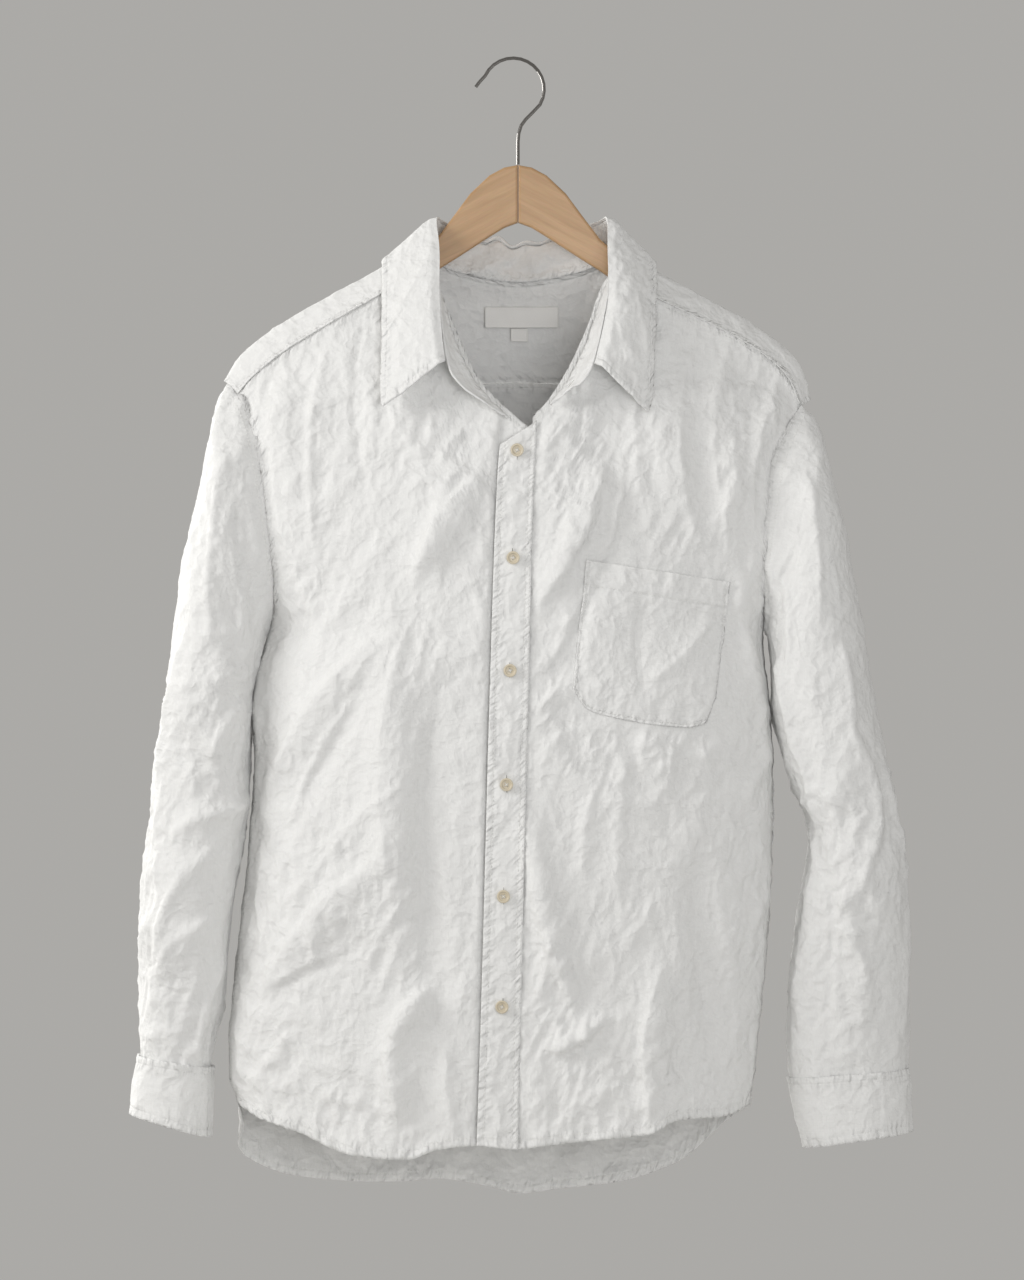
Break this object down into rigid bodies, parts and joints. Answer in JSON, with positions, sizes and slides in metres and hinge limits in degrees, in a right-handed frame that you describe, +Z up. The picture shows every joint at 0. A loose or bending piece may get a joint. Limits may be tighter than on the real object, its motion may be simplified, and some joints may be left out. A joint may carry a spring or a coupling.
{
  "type": "crumpled shirt on a wooden hanger",
  "caption": "Crumpled long-sleeved button-front shirt with an open collar, chest pocket and curved hem, hanging on a flat wooden hanger with a wire hook.",
  "frame": {"origin": "inner top of the hook, where a rail carries the hanger", "axes": "+Z up, -Y towards the shirt's front, +X towards the wearer's left"},
  "size_m": [0.6874, 0.1555, 1.004],
  "materials": {
    "linen": "matt washed plain-weave linen, crumpled",
    "label": "smooth woven tape",
    "button": "satin, shell coloured",
    "wood": "pale beech, satin lacquer",
    "hook_wire": "polished steel wire"
  },
  "bodies": {
    "root": {"front_right_panel": "linen", "front_left_panel": "linen", "front_placket": "linen", "back_panel": "linen", "yoke": "linen", "sleeve_right": "linen", "sleeve_left": "linen", "cuff_right": "linen", "cuff_left": "linen", "collar_stand": "linen", "collar_leaf": "linen", "chest_pocket": "linen", "neck_label": "label", "size_tab": "label", "button_1": "button", "button_2": "button", "button_3": "button", "button_4": "button", "button_5": "button", "button_6": "button", "hanger_arm_right": "wood", "hanger_arm_left": "wood", "hanger_hook": "hook_wire"}
  },
  "joints": []
}
